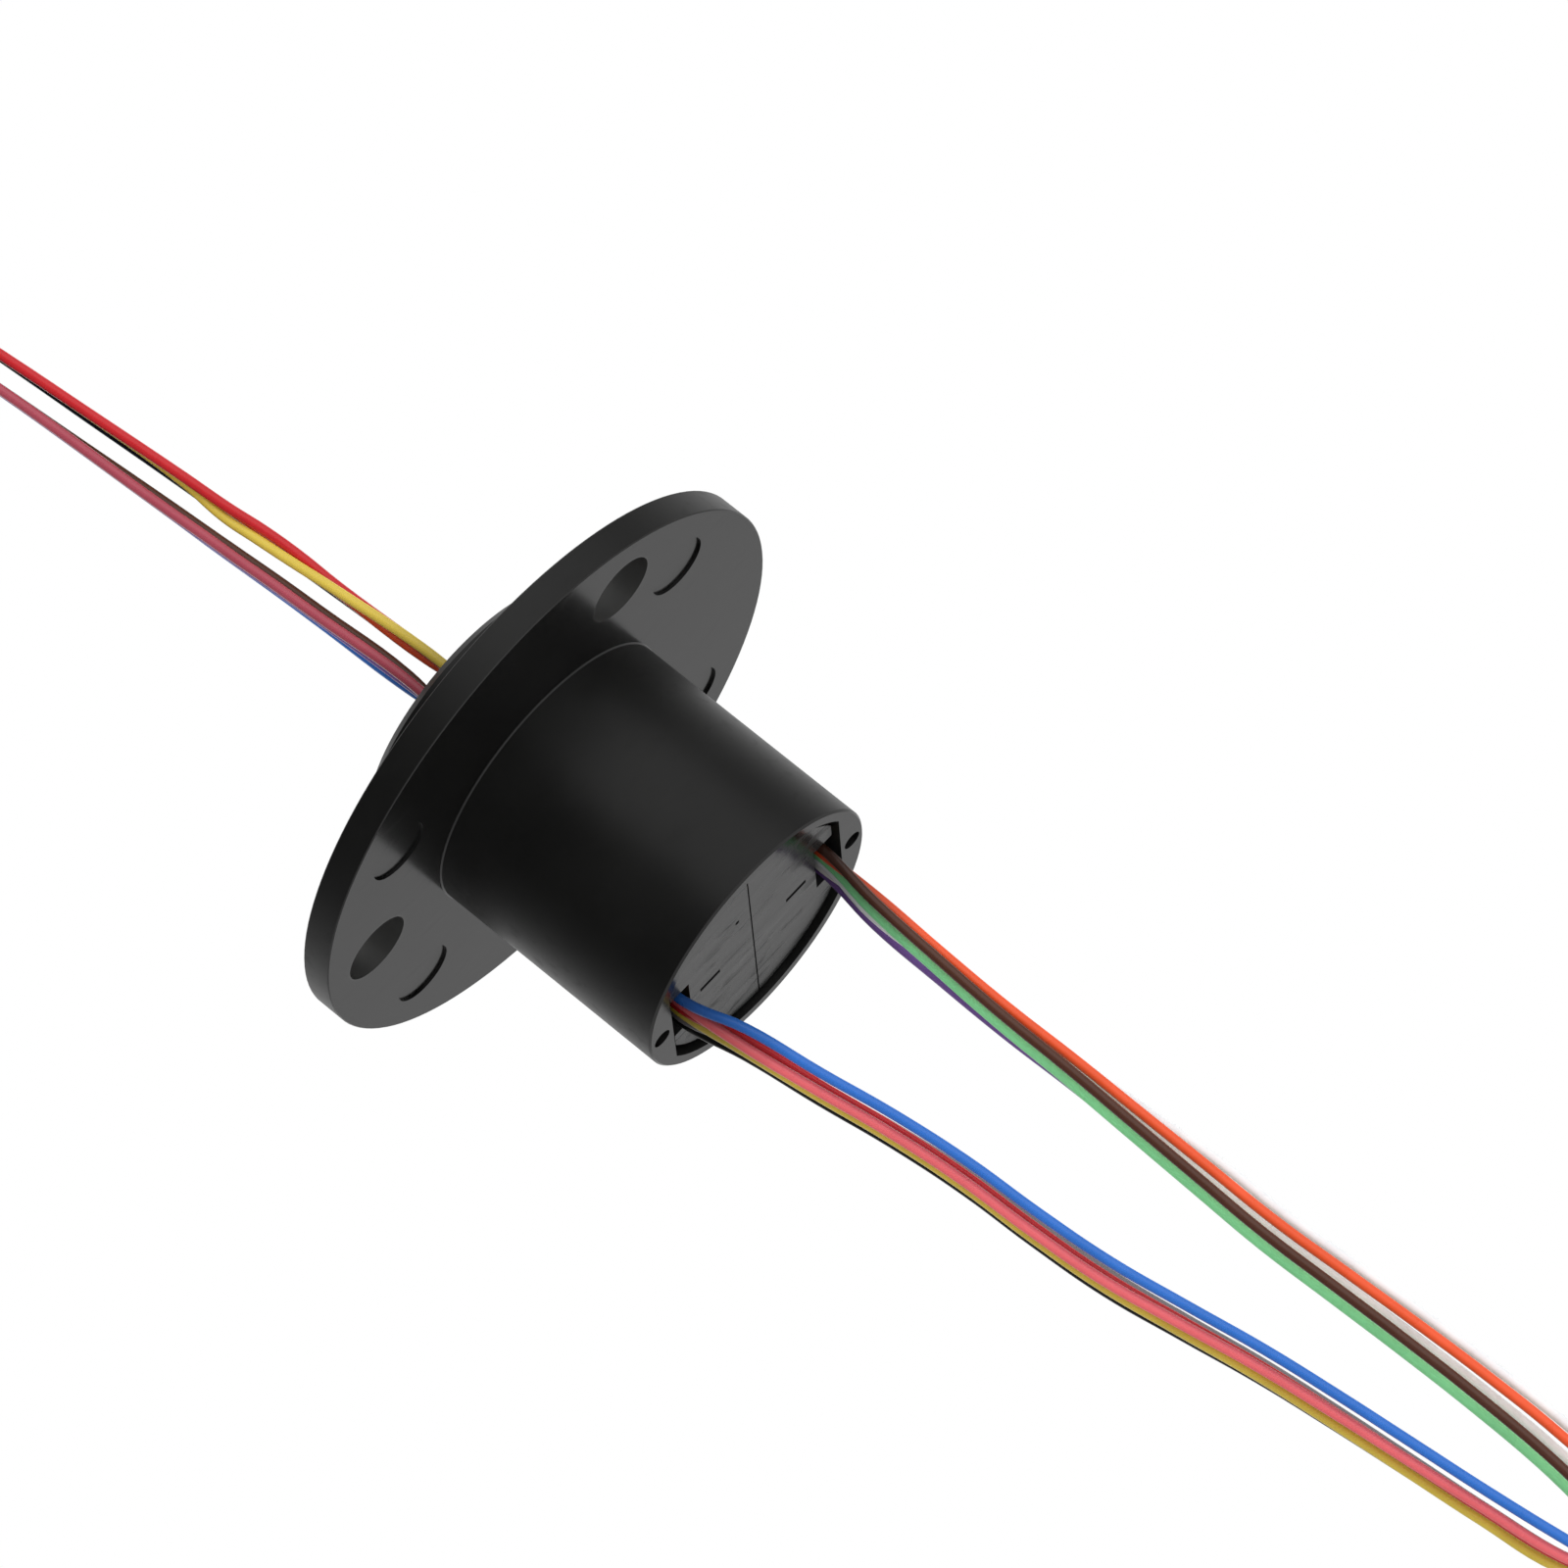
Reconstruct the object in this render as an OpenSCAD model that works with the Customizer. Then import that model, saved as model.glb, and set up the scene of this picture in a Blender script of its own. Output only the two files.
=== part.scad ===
// Flange-mounted capsule slip ring with twelve circuits and bare lead wires.
// Origin: centre of the flange's mounting face. +Z runs along the rotation axis, towards the
// rotor's leads. The capsule hangs below the flange, and +X points at one of its two ears.

/* [Flange] */
// Diameter of the mounting flange
flange_d = 44.5; // [30:0.5:60]
// Thickness of the mounting flange
flange_t = 2.3; // [1.5:0.1:5]
// Diameter of the circle that the three screw holes lie on
bolt_circle_d = 35; // [26:0.5:50]
// Diameter of each screw hole
bolt_hole_d = 5.4; // [3:0.1:6]
// Angle of the moulding recesses to either side of the ear axis
recess_angle = 36.5; // [30:0.5:50]
// Diameter of the moulding recesses
recess_d = 4.9; // [3:0.1:6]
// Depth of the moulding recesses
recess_depth = 0.2; // [0.1:0.05:1]

/* [Capsule] */
// Outer diameter of the capsule
capsule_d = 21.9; // [18:0.1:30]
// Length of the capsule below the mounting face
capsule_h = 19.35; // [15:0.05:30]
// Height of the rear face above the mounting face
rear_h = 7.2; // [5:0.1:12]
// Inner diameter of the capsule's chamber
chamber_d = 20; // [16:0.1:27]
// Distance of each ear's flat from the axis
ear_flat = 8.65; // [7:0.05:10]
// Diameter of the screw hole in each ear
ear_hole_d = 1.5; // [1:0.1:3]
// Distance of the ear holes from the axis
ear_hole_at = 9.75; // [8:0.05:12]

/* [Brushes] */
// Depth of the end plates below the capsule's rim
plate_recess = 0.4; // [0.2:0.1:1.5]
// Thickness of each end plate
plate_t = 1.6; // [1:0.1:3]
// Diameter of a brush wire
brush_wire_d = 0.25; // [0.1:0.05:0.5]

/* [Rotor] */
// Number of contact rings
ring_count = 12; // [2:1:12]
// Spacing of the contact rings along the axis
ring_pitch = 1; // [0.8:0.05:1.5]
// Outer diameter of a contact ring
ring_d = 11; // [8:0.1:14]
// Diameter of the rotor's hollow shaft
shaft_d = 8; // [6:0.1:10]
// Bore of the hollow shaft, which the rotor's leads come up
shaft_bore_d = 6.6; // [4:0.1:8]

/* [Leads] */
// Outer diameter of a lead wire
lead_d = 0.75; // [0.6:0.05:1]
// Angle about the axis of the plane that the leads wave in
lay = -17.4; // [-90:0.1:90]

/* [Hidden] */
$fn = 64;
eps = 0.01;
capsule_r = capsule_d / 2;
chamber_r = chamber_d / 2;
shaft_r = shaft_d / 2;
ring_r = ring_d / 2;

// Bearings, 8 x 12 x 3.5 mm, one to each side of the housing's inner web.
bearing_r = 6;
bearing_w = 3.5;
lower_bearing_z = -3.5;
upper_bearing_z = 2.2;
web_bore_r = 5.2;
ball_r = 0.6;
ball_circle_r = 5;
ball_count = 10;
race_t = 0.55;

// The brush boards stand on the end plates and reach the bearing seat.
plate_top_z = plate_recess + plate_t - capsule_h;
board_inner = 6.3;
board_outer = 8.25;
notch_w = 5.8;
notch_inner = 6.4;
exit_at = 7.3;
exit_pitch = 0.82;

// The rotor's ring stack, from its first rib downwards.
core_r = 4.4;
rib_r = 6;
rib_t = 0.3;
stack_top_z = -4;
groove_r = 5.1;
hub_top_z = 8.8;
potting_z = 8.4;

// Lead colours by name.
lead_colours = [
    ["black", "#161616"], ["brown", "#5a2a17"], ["red", "#a8121f"], ["orange", "#f0541e"],
    ["yellow", "#d8b62c"], ["green", "#3ecf72"], ["blue", "#1f63c4"], ["violet", "#75549e"],
    ["grey", "#7f7f88"], ["white", "#f2ede6"], ["pink", "#e5606a"], ["natural", "#dfe4e8"]];

// A lead wanders sideways (h) in the plane that lay gives, and lies at a depth (v) across it.
function at(h, v, z) = [h * cos(lay) + v * sin(lay), h * sin(lay) - v * cos(lay), z];

// Stator leads: name, then the sideways distance from the bundle's middle at three heights.
// Each bundle leaves its notch as one row, first lead nearest the front.
spread_z = [-24, -54, -84];
bundle_a = [
    ["blue", [0.75, 0.9, 0.95]], ["pink", [-0.35, -0.4, -0.1]], ["red", [0.1, -0.1, -0.2]],
    ["yellow", [-0.6, -0.75, -0.85]], ["grey", [0, 0.2, -0.05]], ["black", [-0.8, -0.95, -0.8]]];
bundle_b = [
    ["brown", [0.1, -0.2, -0.4]], ["orange", [0.45, 0.8, 1.15]], ["green", [-0.5, -0.9, -1.15]],
    ["natural", [-0.75, 1.5, 1.9]], ["white", [0, 0.25, 0.2]], ["violet", [-1.15, -0.6, -0.8]]];

// Heights of the points on each stator lead, and the middle of each bundle there.
wave_z = [-24, -30, -36, -42, -48, -54, -60, -66, -72, -78, -84, -90];
middle_a = [-5.9, -5.1, -4.2, -3.6, -3.35, -2.9, -2, -1.05, -0.35, 0.25, 0.85, 1.6];
middle_b = [6.9, 6.6, 6.4, 6.4, 6.3, 6.2, 6.1, 6.3, 6.5, 6.6, 6.5, 6];
row_a = 2.2;
row_b = -2.2;
row_pitch = 0.8;

// The rest of each stator lead is folded in a flat hank of three runs, held by a tie.
hank_top_z = -104;
hank_h = 54;
run_at = 4.3;
run_pitch = 6.4;
hank_runs = 3;
hank_half_w = 0.9;
hank_t = 5;

// Rotor leads: name, then the sideways place at each height, then the row it lies in, counted
// from the front. Both groups are taut. The red and yellow leads twist once round each other.
taut_z = [12, 20, 24, 27, 30, 34, 46];
rotor_front = [
    ["yellow", [1.25, 0.6, 0.2, -0.06, -0.3, -0.15, -0.8], [0, 0, 0.25, 0.5, 0.75, 1, 1]],
    ["red", [1.2, 0.9, 0.9, 0.74, 0.42, 0.15, -0.8], [1, 1, 0.75, 0.5, 0.25, 0, 0]],
    ["orange", [0.8, 0.6, 0.5, 0.4, 0.25, 0.1, -0.8], [2, 2, 2, 2, 2, 2, 2]],
    ["black", [0.9, 0.5, 0.3, 0.1, -0.05, -0.25, -1], [3, 3, 3, 3, 3, 3, 3]],
    ["white", [1, 0.6, 0.4, 0.3, 0.2, 0, -0.8], [4, 4, 4, 4, 4, 4, 4]],
    ["natural", [1, 0.6, 0.4, 0.3, 0.2, 0, -0.8], [5, 5, 5, 5, 5, 5, 5]]];
rotor_back = [
    ["pink", [-1.15, -1.6, -1.8, -2, -2.15, -2.4, -2.95], [0, 0, 0, 0, 0, 0, 0]],
    ["brown", [-0.85, -1.2, -1.4, -1.6, -1.8, -2.05, -2.9], [1, 1, 1, 1, 1, 1, 1]],
    ["violet", [-1.35, -1.7, -1.9, -2.1, -2.25, -2.45, -3], [2, 2, 2, 2, 2, 2, 2]],
    ["blue", [-1.6, -1.85, -2, -2.15, -2.3, -2.45, -3], [3, 3, 3, 3, 3, 3, 3]],
    ["grey", [-1.2, -1.6, -1.8, -2, -2.15, -2.4, -2.95], [4, 4, 4, 4, 4, 4, 4]],
    ["green", [-1.2, -1.6, -1.8, -2, -2.15, -2.4, -2.95], [5, 5, 5, 5, 5, 5, 5]]];
rotor_exit = 1.25;
rotor_pitch = 0.8;
taut_end_z = 63;
anchor_z = 57;
anchor_h = -2.6;

function ring_name(i) = str("contact_ring_", i < 10 ? "0" : "", i);
function ring_z(i) = stack_top_z - (i - 0.5) * ring_pitch;
function colour_of(name) = lead_colours[search([name], lead_colours)[0]][1];
function pairs(z, values) = [for (k = [0 : len(z) - 1]) [z[k], values[k]]];

// Centreline of a stator lead. side is 1 for the bundle at +X and -1 for the one at -X.
function stator_route(spread, side, i) =
    let (y = (i - 2.5) * exit_pitch,
         depth = (side > 0 ? row_b : row_a) + (2.5 - i) * row_pitch,
         hank_depth = (2.5 - i) * row_pitch,
         middle = side > 0 ? middle_b : middle_a,
         beside = side * row_pitch / 2)
    concat(
        [[side * exit_at, y, plate_top_z], [side * exit_at, y, -capsule_h]],
        [for (k = [0 : len(wave_z) - 1])
            at(middle[k] + lookup(wave_z[k], pairs(spread_z, spread)), depth, wave_z[k])],
        [at(run_at + beside * 1.6, (depth + 2 * hank_depth) / 3, -97),
         at(run_at + beside, hank_depth, hank_top_z + 2),
         at(run_at + beside, hank_depth, hank_top_z)]);

// Depth of a row of rotor leads, and the centreline of one of them, from the potting in the
// hub to its end past the anchor.
function row_depth(row) = (2.5 - row) * rotor_pitch;
function rotor_route(places, rows, side) =
    concat(
        [at(side * rotor_exit, row_depth(rows[0]), potting_z)],
        [for (k = [0 : len(taut_z) - 1]) at(places[k], row_depth(rows[k]), taut_z[k])],
        [for (z = [anchor_z, taut_end_z])
            at(anchor_h + side, row_depth(rows[len(rows) - 1]), z)]);

// Direction of the route at point i. The first and last rings lie level.
function heading(p, i) =
    let (last = len(p) - 1, d = p[min(i + 1, last)] - p[max(i - 1, 0)])
    i == 0 || i == last ? [0, 0, sign(p[last][2] - p[0][2])] : d / norm(d);

// One ring of the tube round point i.
function ring_at(p, i, r, sides) =
    let (t = heading(p, i), u0 = cross([0, 1, 0], t), u = u0 / norm(u0), w = cross(t, u))
    [for (k = [0 : sides - 1]) p[i] + r * (cos(360 * k / sides) * u + sin(360 * k / sides) * w)];

// A tube swept along a route.
module tube(p, r, sides = 8) {
    n = len(p);
    polyhedron(
        points = [for (i = [0 : n - 1]) each ring_at(p, i, r, sides)],
        faces = concat(
            [[for (k = [0 : sides - 1]) k]],
            [for (i = [0 : n - 2]) for (k = [0 : sides - 1])
                let (a = i * sides + k, b = i * sides + (k + 1) % sides)
                each [[a, a + sides, b], [b, a + sides, b + sides]]],
            [[for (k = [sides - 1 : -1 : 0]) (n - 1) * sides + k]]));
}

module revolve(outline) { rotate_extrude() polygon(outline); }

module disc(r, z0, z1) { translate([0, 0, z0]) cylinder(r = r, h = z1 - z0); }

// Everything within the given distance of the YZ plane, on one side of it.
module slab(x0, x1, z0, z1) {
    translate([x0, -capsule_d, z0]) cube([x1 - x0, 2 * capsule_d, z1 - z0]);
}

// The round outside: capsule, flange with broken edges, and rear boss.
module housing_outside() {
    edge = 0.08;
    boss_edge = 0.5;
    fillet = 0.1;
    revolve([
        [0, -capsule_h], [capsule_r - 0.15, -capsule_h], [capsule_r, 0.15 - capsule_h],
        [capsule_r, -fillet], [capsule_r + fillet, 0],
        [flange_d / 2 - edge, 0], [flange_d / 2, edge],
        [flange_d / 2, flange_t - edge], [flange_d / 2 - edge, flange_t],
        [capsule_r, flange_t], [capsule_r, rear_h - boss_edge],
        [capsule_r - boss_edge, rear_h], [0, rear_h]]);
}

// The chamber with its two ears, the bearing seats to each side of the web, and the rear opening.
module housing_inside() {
    difference() {
        disc(chamber_r, -capsule_h - 1, lower_bearing_z);
        slab(ear_flat, capsule_d, -capsule_h - 2, -capsule_h + 4);
        slab(-capsule_d, -ear_flat, -capsule_h - 2, -capsule_h + 4);
    }
    disc(bearing_r, lower_bearing_z - eps, 0);
    disc(web_bore_r, -eps, upper_bearing_z + eps);
    disc(bearing_r, upper_bearing_z, rear_h + 1);
}

module flanged_housing() {
    color("#1b1b1c") difference() {
        housing_outside();
        housing_inside();
        for (a = [60, 180, 300]) rotate(a)
            translate([bolt_circle_d / 2, 0, -1]) cylinder(d = bolt_hole_d, h = flange_t + 2);
        for (side = [0, 180], a = [-recess_angle, recess_angle]) rotate(side + a)
            translate([bolt_circle_d / 2, 0, -1]) cylinder(d = recess_d, h = recess_depth + 1);
        for (side = [-1, 1])
            translate([side * ear_hole_at, 0, -capsule_h - 1]) cylinder(d = ear_hole_d, h = 4.5);
    }
}

// Half of the end plate with the brush board that stands on it, for the +X side.
module brush_block() {
    seam = 0.06;
    plate_r = 9.35;
    slot_w = 0.45;
    color("#232324") difference() {
        union() {
            intersection() {
                disc(plate_r, plate_recess - capsule_h, plate_top_z);
                slab(seam, board_outer, -capsule_h, plate_top_z + 1);
            }
            intersection() {
                disc(chamber_r - 0.03, plate_top_z - eps, lower_bearing_z);
                slab(board_inner, board_outer, plate_top_z - eps, lower_bearing_z);
            }
        }
        translate([notch_inner, -notch_w / 2, -capsule_h])
            cube([3, notch_w, plate_top_z + capsule_h]);
        translate([3.4, -slot_w / 2, -capsule_h])
            cube([2, slot_w, plate_recess + 0.3]);
    }
}

// Two wires to a ring, which stroke its groove on both sides. first is 1 or 2: every other ring.
module brush_wires(first) {
    reach = 1.2;
    gap = 0.03;
    color("#c9a24a")
        for (i = [first : 2 : ring_count], side = [-1, 1])
            translate([-reach, side * (groove_r + gap + brush_wire_d / 2), ring_z(i)])
                rotate([0, 90, 0]) cylinder(d = brush_wire_d, h = board_inner + reach);
}

// The first block carries the mark of its moulding's ejector pin.
module brush_block_a() {
    difference() {
        rotate(180) brush_block();
        color("#232324") translate([-1.32, -4.47, -capsule_h]) cylinder(d = 0.4, h = plate_recess + 0.3);
    }
}
module brush_block_b() { brush_block(); }
module brush_wires_a() { rotate(180) brush_wires(1); }
module brush_wires_b() { brush_wires(2); }

// One race of a bearing, as a ring with a round track for the balls.
module race(r0, r1, z0) {
    color("#b9bcc0") difference() {
        disc(r1, z0, z0 + bearing_w);
        disc(r0, z0 - 1, z0 + bearing_w + 1);
        translate([0, 0, z0 + bearing_w / 2]) rotate_extrude()
            translate([ball_circle_r, 0]) circle(r = ball_r + 0.03);
    }
}

// The balls of one bearing in their cage.
module ball_set(z0) {
    color("#d5d7da") translate([0, 0, z0 + bearing_w / 2]) {
        difference() {
            disc(ball_circle_r + 0.2, -0.75, 0.75);
            disc(ball_circle_r - 0.2, -1, 1);
        }
        for (k = [0 : ball_count - 1]) rotate(360 * k / ball_count)
            translate([ball_circle_r, 0, 0]) sphere(r = ball_r);
    }
}

module lower_outer_race() { race(bearing_r - race_t, bearing_r, lower_bearing_z); }
module upper_outer_race() { race(bearing_r - race_t, bearing_r, upper_bearing_z); }
module lower_inner_race() { race(shaft_r, shaft_r + race_t, lower_bearing_z); }
module upper_inner_race() { race(shaft_r, shaft_r + race_t, upper_bearing_z); }
module lower_ball_set() { ball_set(lower_bearing_z); }
module upper_ball_set() { ball_set(upper_bearing_z); }

// Hollow shaft and ribbed ring carrier in one moulding.
module rotor_core() {
    stack_end_z = stack_top_z - ring_count * ring_pitch;
    color("#e6dfcf") difference() {
        union() {
            disc(shaft_r, lower_bearing_z - 1, rear_h + 0.8);
            disc(4.7, stack_top_z - eps, lower_bearing_z);
            disc(core_r, stack_end_z - 0.15, stack_top_z);
            for (i = [0 : ring_count])
                disc(rib_r, stack_top_z - i * ring_pitch - rib_t / 2,
                     stack_top_z - i * ring_pitch + rib_t / 2);
        }
        disc(shaft_bore_d / 2, stack_end_z + 2, rear_h + 2);
    }
}

// A contact ring with the groove that its brush wires run in.
module contact_ring(i) {
    half = (ring_pitch - rib_t) / 2;
    color("#d8b04c") translate([0, 0, ring_z(i)]) revolve([
        [core_r, -half], [ring_r, -half], [ring_r, -0.3], [groove_r, -0.15],
        [groove_r, 0.15], [ring_r, 0.3], [ring_r, half], [core_r, half]]);
}

// Cap on the shaft's end. It bears on the upper inner race.
module rotor_hub() {
    seat_z = upper_bearing_z + bearing_w;
    color("#202021") revolve([
        [shaft_r, seat_z], [shaft_r + 0.5, seat_z], [shaft_r + 0.5, seat_z + 0.3],
        [5.6, seat_z + 0.6], [5.6, hub_top_z - 0.5], [5.1, hub_top_z],
        [shaft_bore_d / 2, hub_top_z], [shaft_bore_d / 2, rear_h + 0.8], [shaft_r, rear_h + 0.8]]);
}

// Resin in the mouth of the shaft, which the rotor's leads stand in.
module lead_potting() { color("#2c2a28") disc(shaft_bore_d / 2, potting_z - 1.6, potting_z); }

module lead(name, route) { color(colour_of(name)) tube(route, lead_d / 2); }

// A quarter round about (x, z), from angle a on.
function quarter(x, z, r, a) = [for (k = [0 : 6]) [x + r * cos(a + 15 * k), z + r * sin(a + 15 * k)]];

// The folded part of all twelve stator leads. Its top corner is square where they come in.
module lead_hank() {
    x0 = run_at - (hank_runs - 1) * run_pitch - hank_half_w;
    x1 = run_at + hank_half_w;
    z0 = hank_top_z - hank_h;
    r = 3;
    color("#6f6a68") rotate([0, 0, lay]) rotate([90, 0, 0]) linear_extrude(hank_t, center = true)
        polygon(concat(
            [[x1, hank_top_z]], quarter(x0 + r, hank_top_z - r, r, 90),
            quarter(x0 + r, z0 + r, r, 180), quarter(x1 - r, z0 + r, r, 270)));
}

// A strap round the leads: inner size w by t, with its locking head on the front.
module strap(h, z, w, t, height) {
    wall = 0.8;
    color("#e9e7e1") difference() {
        union() {
            translate(at(h, 0, z)) rotate([0, 0, lay])
                cube([w + 2 * wall, t + 2 * wall, height], center = true);
            translate(at(h, t / 2 + wall + 0.9, z)) rotate([0, 0, lay])
                cube([4, 2, height + 1], center = true);
        }
        translate(at(h, 0, z)) rotate([0, 0, lay]) cube([w, t, height + 2], center = true);
    }
}

module hank_tie() {
    width = (hank_runs - 1) * run_pitch + 2 * hank_half_w;
    strap(run_at - (hank_runs - 1) * run_pitch / 2, hank_top_z - hank_h / 2, width, hank_t, 3.6);
}

// The fixing tie that holds the rotor's leads taut, with an eye for a screw.
module rotor_lead_anchor() {
    eye_r = 3.4;
    strap(anchor_h, anchor_z + 2, 2.75, 4.74, 3);
    color("#e9e7e1") translate(at(anchor_h - 2.175, 0, anchor_z + 2)) rotate([0, 0, lay])
        difference() {
            translate([-eye_r + 0.4, 0, -0.8]) cylinder(r = eye_r, h = 1.6);
            translate([-eye_r, 0, -2]) cylinder(d = 3.2, h = 4);
        }
}

flanged_housing();
brush_block_a();
brush_block_b();
brush_wires_a();
brush_wires_b();
lower_outer_race();
upper_outer_race();
lead_hank();
hank_tie();
rotor_core();
rotor_hub();
lead_potting();
lower_inner_race();
upper_inner_race();
lower_ball_set();
upper_ball_set();
rotor_lead_anchor();
for (i = [1 : ring_count])
    contact_ring(i);
for (i = [0 : 5]) {
    lead(bundle_a[i][0], stator_route(bundle_a[i][1], -1, i));
    lead(bundle_b[i][0], stator_route(bundle_b[i][1], 1, i));
    lead(rotor_front[i][0], rotor_route(rotor_front[i][1], rotor_front[i][2], 1));
    lead(rotor_back[i][0], rotor_route(rotor_back[i][1], rotor_back[i][2], -1));
}
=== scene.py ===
"""Capsule slip ring with a three-hole mounting flange and twelve bare lead wires at each end."""

import math

import bpy
from mathutils import Matrix, Vector


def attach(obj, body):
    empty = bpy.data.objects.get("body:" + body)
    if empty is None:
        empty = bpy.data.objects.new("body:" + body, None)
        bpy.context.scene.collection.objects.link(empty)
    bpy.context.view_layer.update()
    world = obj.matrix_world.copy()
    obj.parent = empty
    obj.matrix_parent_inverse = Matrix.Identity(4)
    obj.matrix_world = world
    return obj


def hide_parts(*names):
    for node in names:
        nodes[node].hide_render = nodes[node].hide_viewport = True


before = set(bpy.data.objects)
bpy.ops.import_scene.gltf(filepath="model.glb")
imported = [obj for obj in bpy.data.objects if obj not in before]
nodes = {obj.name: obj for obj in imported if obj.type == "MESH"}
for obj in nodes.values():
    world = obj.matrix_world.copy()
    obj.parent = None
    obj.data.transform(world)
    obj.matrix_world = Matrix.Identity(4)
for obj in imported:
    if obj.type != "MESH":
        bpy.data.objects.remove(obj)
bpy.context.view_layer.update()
scene = bpy.context.scene

# --- Camera ---
# A long lens looks along the capsule from below its open end, turned so that the axis slants
# down from the rotor's leads at the left to the stator's leads at the right.
lens = bpy.data.cameras.new("camera")
lens.lens = 202.06
lens.sensor_width = 36
lens.clip_start = 0.01
camera = bpy.data.objects.new("camera", lens)
right, up, back = (0.6645, 0.0413, -0.7461), (0.6907, -0.4150, 0.5922), (-0.2852, -0.9089, -0.3043)
turn = Matrix((right, up, back)).transposed()
camera.matrix_world = Matrix.Translation((-0.16312, -0.55136, -0.19757)) @ turn.to_4x4()
scene.collection.objects.link(camera)
scene.camera = camera

# --- Stator leads ---
# Twelve stranded wires in extruded fluoropolymer, 0.75 mm across. Each row of six comes out of
# its notch in the end plate, the two bundles hang side by side, and what is left of them is
# folded in three runs as one flat hank.
mm = 0.001
lead_r = 0.375 * mm
lay_angle = math.radians(-17.4)
# In mm: the notches, the rows of six, and the hank's first run, middle and turns.
exit_at, exit_pitch = 7.3, 0.82
bundle_depth, row_pitch = 2.2, 0.8
first_run, turn_r = 4.3, 3.2
upper_turn_z, hank_middle_z, lower_turn_z = -108.2, -131, -153.8


def at(h, v, z):
    """A point at a sideways place h and a depth v in the plane that the leads wave in."""
    c, s = math.cos(lay_angle), math.sin(lay_angle)
    return (h * c + v * s, h * s - v * c, z)


def between(z, heights, values):
    """The value at height z, where the heights go down in steps."""
    for z0, z1, a, b in zip(heights, heights[1:], values, values[1:]):
        if z1 <= z <= z0:
            return a + (b - a) * (z - z0) / (z1 - z0)
    return values[0] if z > heights[0] else values[-1]


def u_turn(centre, z, r, deep, way):
    """Half a circle in the hank's plane in six steps, under the runs (way -1) or over them (1)."""
    angles = [math.radians(30 * k) for k in range(1, 7)]
    return [at(centre + r * math.cos(a), deep, z + way * r * math.sin(a)) for a in angles]


def stator_route(spread, side, i):
    """The wire's middle line in mm, out of its notch and down to the end of its last run."""
    y = (i - 2.5) * exit_pitch
    deep = (2.5 - i) * row_pitch
    depth = deep - side * bundle_depth
    beside = side * 0.4
    line = [(side * exit_at, y, -17.35), (side * exit_at, y, -19.35)]
    for z, h in zip(hanging_z, hanging_b if side > 0 else hanging_a):
        line.append(at(h + between(z, (-24, -54, -84), spread), depth, z))
    line.append(at(first_run + 1.6 * beside, (depth + 2 * deep) / 3, -97))
    line += [at(first_run + beside, deep, z) for z in (-102, -104, -129, lower_turn_z)]
    line += u_turn(first_run - turn_r, lower_turn_z, turn_r + beside, deep, -1)
    second_run = first_run - 2 * turn_r
    line += [at(second_run - beside, deep, z) for z in (hank_middle_z, upper_turn_z)]
    line += u_turn(second_run - turn_r, upper_turn_z, turn_r - beside, deep, 1)
    third_run = second_run - 2 * turn_r
    line += [at(third_run + beside, deep, z) for z in (hank_middle_z, lower_turn_z)]
    return line


def wire(name, line, material):
    """One open spline through the points, as a round tube with smooth bends."""
    curve = bpy.data.curves.new(name, "CURVE")
    curve.dimensions = "3D"
    spline = curve.splines.new("BEZIER")
    spline.bezier_points.add(len(line) - 1)
    for point, place in zip(spline.bezier_points, line):
        point.co = Vector(place) * mm
        point.handle_left_type = point.handle_right_type = "AUTO"
    curve.resolution_u = 6
    curve.bevel_depth = lead_r
    curve.bevel_resolution = 4
    curve.use_fill_caps = True
    curve.materials.append(material)
    piece = bpy.data.objects.new(name, curve)
    scene.collection.objects.link(piece)
    return piece


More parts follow.
